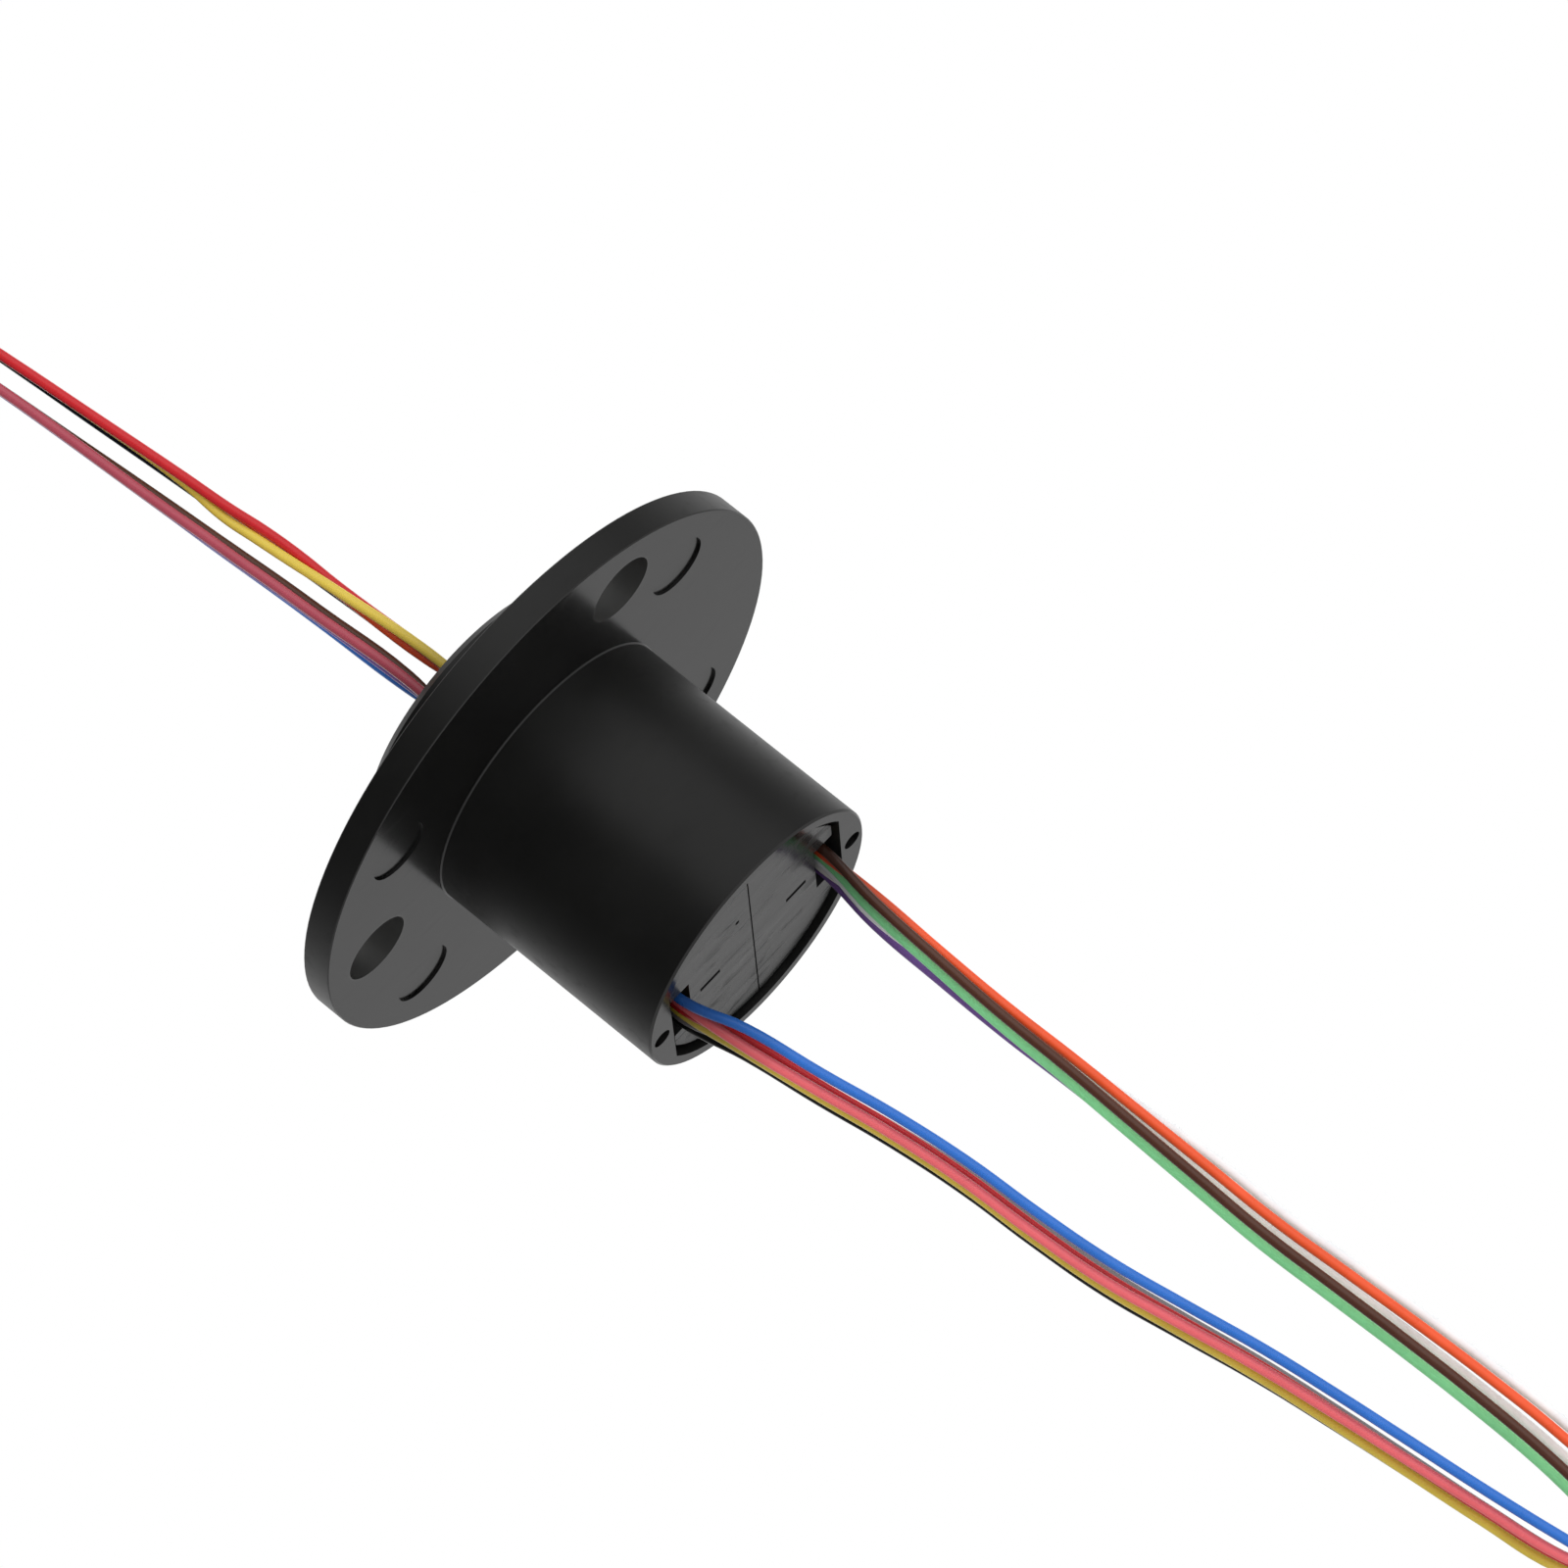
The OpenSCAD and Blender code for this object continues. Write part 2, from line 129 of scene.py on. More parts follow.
def insulation(name, colour, roughness):
    """Extruded insulation with faint die marks, and painted shade that darkens it near each exit.
    """
    material = bpy.data.materials.new(name)
    material.use_nodes = True
    tree = material.node_tree
    link = tree.links.new
    shader = tree.nodes["Principled BSDF"]
    place = tree.nodes.new("ShaderNodeTexCoord")
    patches = tree.nodes.new("ShaderNodeTexNoise")
    patches.inputs["Scale"].default_value = 260
    patches.inputs["Detail"].default_value = 3
    link(place.outputs["Object"], patches.inputs["Vector"])
    shade = tree.nodes.new("ShaderNodeValToRGB")
    shade.color_ramp.elements[0].position = 0.3
    shade.color_ramp.elements[0].color = (*[c * 0.93 for c in colour], 1)
    shade.color_ramp.elements[1].position = 0.7
    shade.color_ramp.elements[1].color = (*[min(c * 1.04, 0.97) for c in colour], 1)
    link(patches.outputs["Fac"], shade.inputs["Fac"])
    # Painted shade: the colour is dark up to 13.5 mm from the capsule's middle, and gone at 22 mm.
    height = tree.nodes.new("ShaderNodeSeparateXYZ")
    link(place.outputs["Object"], height.inputs["Vector"])
    from_middle = tree.nodes.new("ShaderNodeMath")
    from_middle.operation = "ADD"
    from_middle.inputs[1].default_value = 6 * mm
    link(height.outputs["Z"], from_middle.inputs[0])
    distance = tree.nodes.new("ShaderNodeMath")
    distance.operation = "ABSOLUTE"
    link(from_middle.outputs[0], distance.inputs[0])
    painted_exit_shade = tree.nodes.new("ShaderNodeMapRange")
    painted_exit_shade.inputs["From Min"].default_value = 13.5 * mm
    painted_exit_shade.inputs["From Max"].default_value = 22 * mm
    painted_exit_shade.inputs["To Min"].default_value = 0.3
    link(distance.outputs[0], painted_exit_shade.inputs["Value"])
    painted_shade_mix = tree.nodes.new("ShaderNodeMix")
    painted_shade_mix.data_type = "RGBA"
    painted_shade_mix.blend_type = "MULTIPLY"
    painted_shade_mix.inputs["Factor"].default_value = 1
    link(shade.outputs["Color"], painted_shade_mix.inputs["A"])
    link(painted_exit_shade.outputs["Result"], painted_shade_mix.inputs["B"])
    link(painted_shade_mix.outputs["Result"], shader.inputs["Base Color"])
    gloss = tree.nodes.new("ShaderNodeMapRange")
    gloss.inputs["To Min"].default_value = roughness - 0.06
    gloss.inputs["To Max"].default_value = roughness + 0.08
    link(patches.outputs["Fac"], gloss.inputs["Value"])
    link(gloss.outputs["Result"], shader.inputs["Roughness"])
    squeeze = tree.nodes.new("ShaderNodeMapping")
    squeeze.inputs["Scale"].default_value = (1, 1, 0.05)
    link(place.outputs["Object"], squeeze.inputs["Vector"])
    marks = tree.nodes.new("ShaderNodeTexNoise")
    marks.inputs["Scale"].default_value = 900
    link(squeeze.outputs["Vector"], marks.inputs["Vector"])
    bump = tree.nodes.new("ShaderNodeBump")
    bump.inputs["Strength"].default_value = 0.02
    bump.inputs["Distance"].default_value = 0.00001
    link(marks.outputs["Fac"], bump.inputs["Height"])
    link(bump.outputs["Normal"], shader.inputs["Normal"])
    return material


lead_colours = {
    "black": (0.006, 0.006, 0.006), "brown": (0.075, 0.028, 0.017), "red": (0.56, 0.016, 0.022),
    "orange": (0.86, 0.1, 0.028), "yellow": (0.7, 0.52, 0.07), "green": (0.27, 0.82, 0.36),
    "blue": (0.03, 0.16, 0.58), "violet": (0.2, 0.1, 0.36), "grey": (0.2, 0.18, 0.19),
    "white": (0.93, 0.9, 0.88), "pink": (0.84, 0.14, 0.16), "natural": (0.92, 0.94, 0.96)}
insulations = {name: insulation("insulation_" + name, c, 0.27) for name, c in lead_colours.items()}

hanging_z = [-24, -30, -36, -42, -48, -54, -60, -66, -72, -78, -84, -90]
hanging_a = [-5.9, -5.1, -4.2, -3.6, -3.35, -2.9, -2, -1.05, -0.35, 0.25, 0.85, 1.6]
hanging_b = [6.9, 6.6, 6.4, 6.4, 6.3, 6.2, 6.1, 6.3, 6.5, 6.6, 6.5, 6]
bundle_a = [
    ("blue", (0.75, 0.9, 0.95)), ("pink", (-0.35, -0.4, -0.1)), ("red", (0.1, -0.1, -0.2)),
    ("yellow", (-0.6, -0.75, -0.85)), ("grey", (0, 0.2, -0.05)), ("black", (-0.8, -0.95, -0.8))]
bundle_b = [
    ("brown", (0.1, -0.2, -0.4)), ("orange", (0.45, 0.8, 1.15)), ("green", (-0.5, -0.9, -1.15)),
    ("natural", (-0.75, 1.5, 1.9)), ("white", (0, 0.25, 0.2)), ("violet", (-1.15, -0.6, -0.8))]
wire_ends = {}
for side, bundle in ((-1, bundle_a), (1, bundle_b)):
    for i, (colour, spread) in enumerate(bundle):
        line = stator_route(spread, side, i)
        wire_ends[colour] = line[-1]
        piece = wire("hanging_wire_" + colour, line, insulations[colour])
        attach(piece, "stator")
        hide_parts("stator_lead_" + colour)
        if colour == "blue":
            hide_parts("lead_hank")

# --- Ties ---
# Natural nylon straps with a locking head, pulled tight and cut off short. One goes round the
# folded hank. The other has a screw eye, and holds the rotor's leads at the end of their run.


def moulded(name, deep, pale, scale, roughness, bumps):
    """Plain moulded or poured plastic with soft clouds in it."""
    material = bpy.data.materials.new(name)
    material.use_nodes = True
    tree = material.node_tree
    link = tree.links.new
    shader = tree.nodes["Principled BSDF"]
    place = tree.nodes.new("ShaderNodeTexCoord")
    clouds = tree.nodes.new("ShaderNodeTexNoise")
    clouds.inputs["Scale"].default_value = scale
    clouds.inputs["Detail"].default_value = 4
    link(place.outputs["Object"], clouds.inputs["Vector"])
    shade = tree.nodes.new("ShaderNodeValToRGB")
    shade.color_ramp.elements[0].position = 0.3
    shade.color_ramp.elements[0].color = (*deep, 1)
    shade.color_ramp.elements[1].position = 0.7
    shade.color_ramp.elements[1].color = (*pale, 1)
    link(clouds.outputs["Fac"], shade.inputs["Fac"])
    link(shade.outputs["Color"], shader.inputs["Base Color"])
    gloss = tree.nodes.new("ShaderNodeMapRange")
    gloss.inputs["To Min"].default_value = roughness - 0.06
    gloss.inputs["To Max"].default_value = roughness + 0.08
    link(clouds.outputs["Fac"], gloss.inputs["Value"])
    link(gloss.outputs["Result"], shader.inputs["Roughness"])
    bump = tree.nodes.new("ShaderNodeBump")
    bump.inputs["Strength"].default_value = bumps
    bump.inputs["Distance"].default_value = 0.00005
    link(clouds.outputs["Fac"], bump.inputs["Height"])
    link(bump.outputs["Normal"], shader.inputs["Normal"])
    return material


nylon = moulded("natural_nylon", (0.7, 0.67, 0.6), (0.82, 0.8, 0.73), 600, 0.38, 0.15)
shader = nylon.node_tree.nodes["Principled BSDF"]
shader.inputs["Subsurface Weight"].default_value = 0.2
shader.inputs["Subsurface Scale"].default_value = 1 * mm
strap_wall = 0.8
tooth_pitch = 0.5


def block(place, size):
    """A box in mm to start a part from, with the object left at the origin."""
    bpy.ops.object.select_all(action="DESELECT")
    bpy.ops.mesh.primitive_cube_add(size=1, location=Vector(place) * mm, scale=Vector(size) * mm)
    bpy.ops.object.transform_apply(location=True, rotation=True, scale=True)
    return bpy.context.object


def pick_faces(part, direction):
    """Go into edit mode with the faces that look along the direction, either way, selected."""
    bpy.ops.object.mode_set(mode="EDIT")
    bpy.ops.mesh.select_mode(type="FACE")
    bpy.ops.mesh.select_all(action="DESELECT")
    bpy.ops.object.mode_set(mode="OBJECT")
    for face in part.data.polygons:
        face.select = abs(face.normal.dot(Vector(direction))) > 0.95
    bpy.ops.object.mode_set(mode="EDIT")


def break_edges(part, width):
    """Round every sharp edge a little."""
    bevel = part.modifiers.new("bevel", "BEVEL")
    bevel.width = width * mm
    bevel.segments = 2
    bevel.limit_method = "ANGLE"
    bevel.angle_limit = math.radians(40)
    bpy.context.view_layer.objects.active = part
    bpy.ops.object.modifier_apply(modifier="bevel")


def strap(h, z, wide, deep, tall, extras=()):
    """A strap round a bundle of this width and depth, with its teeth, head and cut end."""
    front = -deep / 2 - strap_wall
    band = block((0, 0, 0), (wide + 2 * strap_wall, deep + 2 * strap_wall, tall))
    bpy.ops.object.mode_set(mode="EDIT")
    bpy.ops.mesh.select_mode(type="EDGE")
    bpy.ops.mesh.select_all(action="DESELECT")
    bpy.ops.object.mode_set(mode="OBJECT")
    for edge in band.data.edges:
        one, two = (band.data.vertices[k].co for k in edge.vertices)
        edge.select = abs(one.z - two.z) > 0.5 * tall * mm
    bpy.ops.object.mode_set(mode="EDIT")
    bpy.ops.mesh.bevel(offset=1.1 * mm, segments=5, affect="EDGES")
    bpy.ops.object.mode_set(mode="OBJECT")
    pick_faces(band, (0, 0, 1))
    bpy.ops.mesh.inset(thickness=strap_wall * mm)
    bpy.ops.mesh.bridge_edge_loops()
    bpy.ops.mesh.select_all(action="SELECT")
    bpy.ops.mesh.normals_make_consistent(inside=False)
    bpy.ops.object.mode_set(mode="OBJECT")
    break_edges(band, 0.12)
    parts = [band]
    # Teeth across the front of the strap.
    count = max(int((wide - 1) / tooth_pitch), 1)
    tooth = block((-(count - 1) * tooth_pitch / 2, front, 0), (0.22, 0.24, 0.62 * tall))
    break_edges(tooth, 0.07)
    row = tooth.modifiers.new("row", "ARRAY")
    row.count = count
    row.use_relative_offset = False
    row.use_constant_offset = True
    row.constant_offset_displace = (tooth_pitch * mm, 0, 0)
    bpy.ops.object.modifier_apply(modifier="row")
    parts.append(tooth)
    # The head, open at the side where the cut end comes out.
    head_y = front - 0.9
    head = block((0, head_y, 0), (4, 2, tall + 1))
    pick_faces(head, (1, 0, 0))
    bpy.ops.mesh.inset(thickness=0.45 * mm)
    bpy.ops.mesh.extrude_region_shrink_fatten(
        TRANSFORM_OT_shrink_fatten={"value": -0.7 * mm})
    bpy.ops.object.mode_set(mode="OBJECT")
    break_edges(head, 0.2)
    parts.append(head)
    cut_end = block((1.9, head_y, 0), (1.8, 0.8, 0.7 * tall))
    break_edges(cut_end, 0.12)
    parts.append(cut_end)
    parts += extras
    bpy.ops.object.select_all(action="DESELECT")
    for part in parts:
        part.select_set(True)
    bpy.context.view_layer.objects.active = band
    bpy.ops.object.join()
    band.rotation_euler = (0, 0, lay_angle)
    band.location = Vector(at(h, 0, z)) * mm
    bpy.ops.object.transform_apply(location=True, rotation=True, scale=True)
    bpy.ops.object.shade_smooth_by_angle(angle=math.radians(35))
    band.data.materials.clear()
    band.data.materials.append(nylon)
    return band


hank_strap = strap(first_run - 2 * turn_r, hank_middle_z, wide=14.6, deep=5, tall=3.6)
hank_strap.name = "hank_strap"
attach(hank_strap, "stator")
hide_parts("hank_tie")

# The screw eye stands out from the second strap's side.
anchor_h, anchor_z, anchor_wide = -2.6, 59, 2.75
eye_r, eye_hole_r = 3.4, 1.6
eye_at = -(anchor_wide / 2 + strap_wall) - 3
bpy.ops.object.select_all(action="DESELECT")
bpy.ops.mesh.primitive_cylinder_add(
    vertices=48, radius=eye_r * mm, depth=1.6 * mm, location=(eye_at * mm, 0, 0))
bpy.ops.object.transform_apply(location=True, rotation=True, scale=True)
screw_eye = bpy.context.object
pick_faces(screw_eye, (0, 0, 1))
bpy.ops.mesh.inset(thickness=(eye_r - eye_hole_r) * mm)
bpy.ops.mesh.bridge_edge_loops()
bpy.ops.mesh.select_all(action="SELECT")
bpy.ops.mesh.normals_make_consistent(inside=False)
bpy.ops.object.mode_set(mode="OBJECT")
break_edges(screw_eye, 0.2)
anchor_strap = strap(anchor_h, anchor_z, anchor_wide, deep=4.74, tall=3, extras=[screw_eye])
anchor_strap.name = "anchor_strap"
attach(anchor_strap, "rotor")
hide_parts("rotor_lead_anchor")

# --- Rotor leads ---
# The other ends of the twelve circuits, the same wire. They stand in the resin in the shaft's
# mouth and run in two taut groups to the strap with the screw eye. Red and yellow twist once.
rotor_exit, rotor_exit_z = 1.25, 8.4
taut_z = [12, 20, 24, 27, 30, 34, 46]
rotor_front = [
    ("yellow", (1.25, 0.6, 0.2, -0.06, -0.3, -0.15, -0.8), (0, 0, 0.25, 0.5, 0.75, 1, 1)),
    ("red", (1.2, 0.9, 0.9, 0.74, 0.42, 0.15, -0.8), (1, 1, 0.75, 0.5, 0.25, 0, 0)),
    ("orange", (0.8, 0.6, 0.5, 0.4, 0.25, 0.1, -0.8), (2, 2, 2, 2, 2, 2, 2)),
    ("black", (0.9, 0.5, 0.3, 0.1, -0.05, -0.25, -1), (3, 3, 3, 3, 3, 3, 3)),
    ("white", (1, 0.6, 0.4, 0.3, 0.2, 0, -0.8), (4, 4, 4, 4, 4, 4, 4)),
    ("natural", (1, 0.6, 0.4, 0.3, 0.2, 0, -0.8), (5, 5, 5, 5, 5, 5, 5))]
rotor_back = [
    ("pink", (-1.15, -1.6, -1.8, -2, -2.15, -2.4, -2.95), (0, 0, 0, 0, 0, 0, 0)),
    ("brown", (-0.85, -1.2, -1.4, -1.6, -1.8, -2.05, -2.9), (1, 1, 1, 1, 1, 1, 1)),
    ("violet", (-1.35, -1.7, -1.9, -2.1, -2.25, -2.45, -3), (2, 2, 2, 2, 2, 2, 2)),
    ("blue", (-1.6, -1.85, -2, -2.15, -2.3, -2.45, -3), (3, 3, 3, 3, 3, 3, 3)),
    ("grey", (-1.2, -1.6, -1.8, -2, -2.15, -2.4, -2.95), (4, 4, 4, 4, 4, 4, 4)),
    ("green", (-1.2, -1.6, -1.8, -2, -2.15, -2.4, -2.95), (5, 5, 5, 5, 5, 5, 5))]


def rotor_route(places, rows, side):
    """The wire's middle line in mm, from the resin in the hub to its end past the strap."""
    line = [at(side * rotor_exit, (2.5 - rows[0]) * row_pitch, rotor_exit_z)]
    line += [at(h, (2.5 - row) * row_pitch, z) for h, row, z in zip(places, rows, taut_z)]
    return line + [at(anchor_h + side, (2.5 - rows[-1]) * row_pitch, z) for z in (57, 63)]


# The pink lead is painted a deeper rose at this end, as painted shade on the same wire.
shaded_pink = insulation("insulation_pink_painted_shade", (0.4, 0.07, 0.1), 0.17)
for side, group in ((1, rotor_front), (-1, rotor_back)):
    for colour, places, rows in group:
        line = rotor_route(places, rows, side)
        skin = shaded_pink if colour == "pink" else insulations[colour]
        piece = wire("taut_wire_" + colour, line, skin)
        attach(piece, "rotor")
        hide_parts("rotor_lead_" + colour)

# --- Stripped ends ---
# Seven tinned copper strands, twisted together, show for just under 4 mm where the insulation
# of each stator lead has been cut back ready for a terminal.
tinned = bpy.data.materials.new("tinned_copper")
tinned.use_nodes = True
tree = tinned.node_tree
shader = tree.nodes["Principled BSDF"]
shader.inputs["Metallic"].default_value = 1
place = tree.nodes.new("ShaderNodeTexCoord")
clouds = tree.nodes.new("ShaderNodeTexNoise")
clouds.inputs["Scale"].default_value = 2500
tree.links.new(place.outputs["Object"], clouds.inputs["Vector"])
shade = tree.nodes.new("ShaderNodeValToRGB")
shade.color_ramp.elements[0].color = (0.5, 0.46, 0.42, 1)
shade.color_ramp.elements[1].color = (0.74, 0.73, 0.71, 1)
tree.links.new(clouds.outputs["Fac"], shade.inputs["Fac"])
tree.links.new(shade.outputs["Color"], shader.inputs["Base Color"])
gloss = tree.nodes.new("ShaderNodeMapRange")
gloss.inputs["To Min"].default_value = 0.25
gloss.inputs["To Max"].default_value = 0.5
tree.links.new(clouds.outputs["Fac"], gloss.inputs["Value"])
tree.links.new(gloss.outputs["Result"], shader.inputs["Roughness"])

bpy.ops.object.select_all(action="DESELECT")
strand_r = 0.075 * mm
strand_steps, strand_step = 12, 0.33 * mm
bpy.ops.mesh.primitive_circle_add(vertices=8, radius=strand_r, fill_type="NGON", location=(0, 0, 0))
strands = bpy.context.object
strands.name = "strands"
bpy.ops.object.mode_set(mode="EDIT")
for k in range(6):
    a = math.radians(60 * k)
    bpy.ops.mesh.primitive_circle_add(
        vertices=8, radius=strand_r, fill_type="NGON",
        location=(2 * strand_r * math.cos(a), 2 * strand_r * math.sin(a), 0))
bpy.ops.mesh.select_all(action="SELECT")
for k in range(strand_steps):
    bpy.ops.mesh.extrude_region_move(TRANSFORM_OT_translate={"value": (0, 0, -strand_step)})
    bpy.ops.transform.rotate(value=math.radians(20), orient_axis="Z", center_override=(0, 0, 0))
bpy.ops.mesh.select_all(action="SELECT")
bpy.ops.mesh.normals_make_consistent(inside=False)
bpy.ops.object.mode_set(mode="OBJECT")
bpy.ops.object.shade_smooth_by_angle(angle=math.radians(40))
strands.data.materials.append(tinned)
for colour, (x, y, z) in wire_ends.items():
    bpy.ops.object.select_all(action="DESELECT")
    strands.select_set(True)
    bpy.context.view_layer.objects.active = strands
    bpy.ops.object.duplicate()
    piece = bpy.context.object
    piece.name = "stripped_end_" + colour
    piece.location = Vector((x, y, z + 0.1)) * mm
    bpy.ops.object.transform_apply(location=True, rotation=True, scale=True)
    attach(piece, "stator")
bpy.data.objects.remove(strands)

# --- Flanged housing ---
# Capsule, mounting flange and rear boss in one injection moulding of black glass-filled nylon.
# The mounting face is smooth and keeps fine scuffs. The capsule's wall is a little more satin.


def black_moulding(name, colour, smooth, satin, scuffs, waves):
    """Black moulded plastic, smoother where it faces along the axis, with scuffs and grain."""
    material = bpy.data.materials.new(name)
    material.use_nodes = True
    tree = material.node_tree
    link = tree.links.new
    shader = tree.nodes["Principled BSDF"]
    shader.inputs["IOR"].default_value = 1.45
    place = tree.nodes.new("ShaderNodeTexCoord")
    clouds = tree.nodes.new("ShaderNodeTexNoise")
    clouds.inputs["Scale"].default_value = 150
    clouds.inputs["Detail"].default_value = 5
    link(place.outputs["Object"], clouds.inputs["Vector"])
    shade = tree.nodes.new("ShaderNodeValToRGB")
    shade.color_ramp.elements[0].position = 0.3
    shade.color_ramp.elements[0].color = (*[c * 0.75 for c in colour], 1)
    shade.color_ramp.elements[1].position = 0.7
    shade.color_ramp.elements[1].color = (*[c * 1.3 for c in colour], 1)
    link(clouds.outputs["Fac"], shade.inputs["Fac"])
    link(shade.outputs["Color"], shader.inputs["Base Color"])
    # Roughness: the faces across the axis against the round walls.
    axis = tree.nodes.new("ShaderNodeSeparateXYZ")
    link(place.outputs["Normal"], axis.inputs["Vector"])
    across = tree.nodes.new("ShaderNodeMath")
    across.operation = "ABSOLUTE"
    link(axis.outputs["Z"], across.inputs[0])
    gloss = tree.nodes.new("ShaderNodeMapRange")
    gloss.inputs["From Min"].default_value = 0.5
    gloss.inputs["From Max"].default_value = 0.95
    gloss.inputs["To Min"].default_value = satin
    gloss.inputs["To Max"].default_value = smooth
    link(across.outputs[0], gloss.inputs["Value"])
    # Scuffs: thin, long and all over the place.
    squeeze = tree.nodes.new("ShaderNodeMapping")
    squeeze.inputs["Rotation"].default_value = (0, 0, 0.3)
    squeeze.inputs["Scale"].default_value = (0.3, 1, 1)
    link(place.outputs["Object"], squeeze.inputs["Vector"])
    streaks = tree.nodes.new("ShaderNodeTexNoise")
    streaks.inputs["Scale"].default_value = 900
    streaks.inputs["Detail"].default_value = 6
    streaks.inputs["Distortion"].default_value = 0.4
    link(squeeze.outputs["Vector"], streaks.inputs["Vector"])
    thin = tree.nodes.new("ShaderNodeMapRange")
    thin.inputs["From Min"].default_value = 0.56
    thin.inputs["From Max"].default_value = 0.7
    thin.inputs["To Max"].default_value = scuffs
    link(streaks.outputs["Fac"], thin.inputs["Value"])
    total = tree.nodes.new("ShaderNodeMath")
    link(gloss.outputs["Result"], total.inputs[0])
    link(thin.outputs["Result"], total.inputs[1])
    link(total.outputs[0], shader.inputs["Roughness"])
    grain = tree.nodes.new("ShaderNodeTexNoise")
    grain.inputs["Scale"].default_value = 5000
    link(place.outputs["Object"], grain.inputs["Vector"])
    height = tree.nodes.new("ShaderNodeMath")
    height.operation = "MULTIPLY_ADD"
    height.inputs[1].default_value = 0.3
    link(grain.outputs["Fac"], height.inputs[0])
    link(streaks.outputs["Fac"], height.inputs[2])
    bump = tree.nodes.new("ShaderNodeBump")
    bump.inputs["Strength"].default_value = 0.05 + scuffs * 0.5
    bump.inputs["Distance"].default_value = 0.00002
    link(height.outputs[0], bump.inputs["Height"])
    # Shrinkage: shallow waves that the light rolls over.
    sinks = tree.nodes.new("ShaderNodeTexNoise")
    sinks.inputs["Scale"].default_value = 300
    sinks.inputs["Detail"].default_value = 3
    link(squeeze.outputs["Vector"], sinks.inputs["Vector"])
    rolling = tree.nodes.new("ShaderNodeBump")
    rolling.inputs["Strength"].default_value = waves
    rolling.inputs["Distance"].default_value = 0.00012
    link(sinks.outputs["Fac"], rolling.inputs["Height"])
    link(bump.outputs["Normal"], rolling.inputs["Normal"])
    link(rolling.outputs["Normal"], shader.inputs["Normal"])
    return material


def dress(node, material):
    """Give a CAD node its finish."""
    nodes[node].data.materials.clear()
    nodes[node].data.materials.append(material)


housing = black_moulding("housing_nylon", (0.004, 0.004, 0.0038), 0.18, 0.42, 0.05, 0.05)
dress("flanged_housing", housing)

# The three screw holes keep a dull, paler skin inside, where the core pins were drawn out.
tree = housing.node_tree
link = tree.links.new
shader = tree.nodes["Principled BSDF"]
place = tree.nodes["Texture Coordinate"]
bolt_circle_r = 17.5 * mm
nearest = None
for k in range(3):
    a = math.radians(60 + 120 * k)
    pin = tree.nodes.new("ShaderNodeVectorMath")
    pin.operation = "MULTIPLY_ADD"
    pin.inputs[1].default_value = (1, 1, 0)
    pin.inputs[2].default_value = (-bolt_circle_r * math.cos(a), -bolt_circle_r * math.sin(a), 0)
    link(place.outputs["Object"], pin.inputs[0])
    away = tree.nodes.new("ShaderNodeVectorMath")
    away.operation = "LENGTH"
    link(pin.outputs["Vector"], away.inputs[0])
    if nearest is None:
        nearest = away.outputs["Value"]
    else:
        least = tree.nodes.new("ShaderNodeMath")
        least.operation = "MINIMUM"
        link(nearest, least.inputs[0])
        link(away.outputs["Value"], least.inputs[1])
        nearest = least.outputs[0]
bore = tree.nodes.new("ShaderNodeMapRange")
bore.inputs["From Min"].default_value = 2.9 * mm
bore.inputs["From Max"].default_value = 2.72 * mm
link(nearest, bore.inputs["Value"])
dull = tree.nodes.new("ShaderNodeMix")
dull.data_type = "RGBA"
dull.inputs["B"].default_value = (0.028, 0.028, 0.027, 1)
link(bore.outputs["Result"], dull.inputs["Factor"])
link(shader.inputs["Base Color"].links[0].from_socket, dull.inputs["A"])
link(dull.outputs["Result"], shader.inputs["Base Color"])

# --- Brush blocks ---
# Two half plates with the boards that carry the brush wires, pressed into the chamber's mouth.
# They are moulded in a plainer black plastic, and their faces are scraped and streaky.
block_plastic = black_moulding("brush_block_plastic", (0.014, 0.014, 0.014), 0.24, 0.3, 0.25, 0.6)
dress("brush_block_a", block_plastic)
dress("brush_block_b", block_plastic)

# --- Brush wires and contact rings ---
# Gold alloy spring wires, drawn and cut, and turned rings with the same hard gold plating.


def gold(name, pale, deep, scale, stretch):
    """Gold plating with the fine marks of drawing or turning."""
    material = bpy.data.materials.new(name)
    material.use_nodes = True
    tree = material.node_tree
    link = tree.links.new
    shader = tree.nodes["Principled BSDF"]
    shader.inputs["Metallic"].default_value = 1
    place = tree.nodes.new("ShaderNodeTexCoord")
    squeeze = tree.nodes.new("ShaderNodeMapping")
    squeeze.inputs["Scale"].default_value = stretch
    link(place.outputs["Object"], squeeze.inputs["Vector"])
    marks = tree.nodes.new("ShaderNodeTexNoise")
    marks.inputs["Scale"].default_value = scale
    marks.inputs["Detail"].default_value = 4
    link(squeeze.outputs["Vector"], marks.inputs["Vector"])
    shade = tree.nodes.new("ShaderNodeValToRGB")
    shade.color_ramp.elements[0].color = (*deep, 1)
    shade.color_ramp.elements[1].color = (*pale, 1)
    link(marks.outputs["Fac"], shade.inputs["Fac"])
    link(shade.outputs["Color"], shader.inputs["Base Color"])
    gloss = tree.nodes.new("ShaderNodeMapRange")
    gloss.inputs["To Min"].default_value = 0.16
    gloss.inputs["To Max"].default_value = 0.4
    link(marks.outputs["Fac"], gloss.inputs["Value"])
    link(gloss.outputs["Result"], shader.inputs["Roughness"])
    bump = tree.nodes.new("ShaderNodeBump")
    bump.inputs["Strength"].default_value = 0.15
    bump.inputs["Distance"].default_value = 0.00001
    link(marks.outputs["Fac"], bump.inputs["Height"])
    link(bump.outputs["Normal"], shader.inputs["Normal"])
    return material


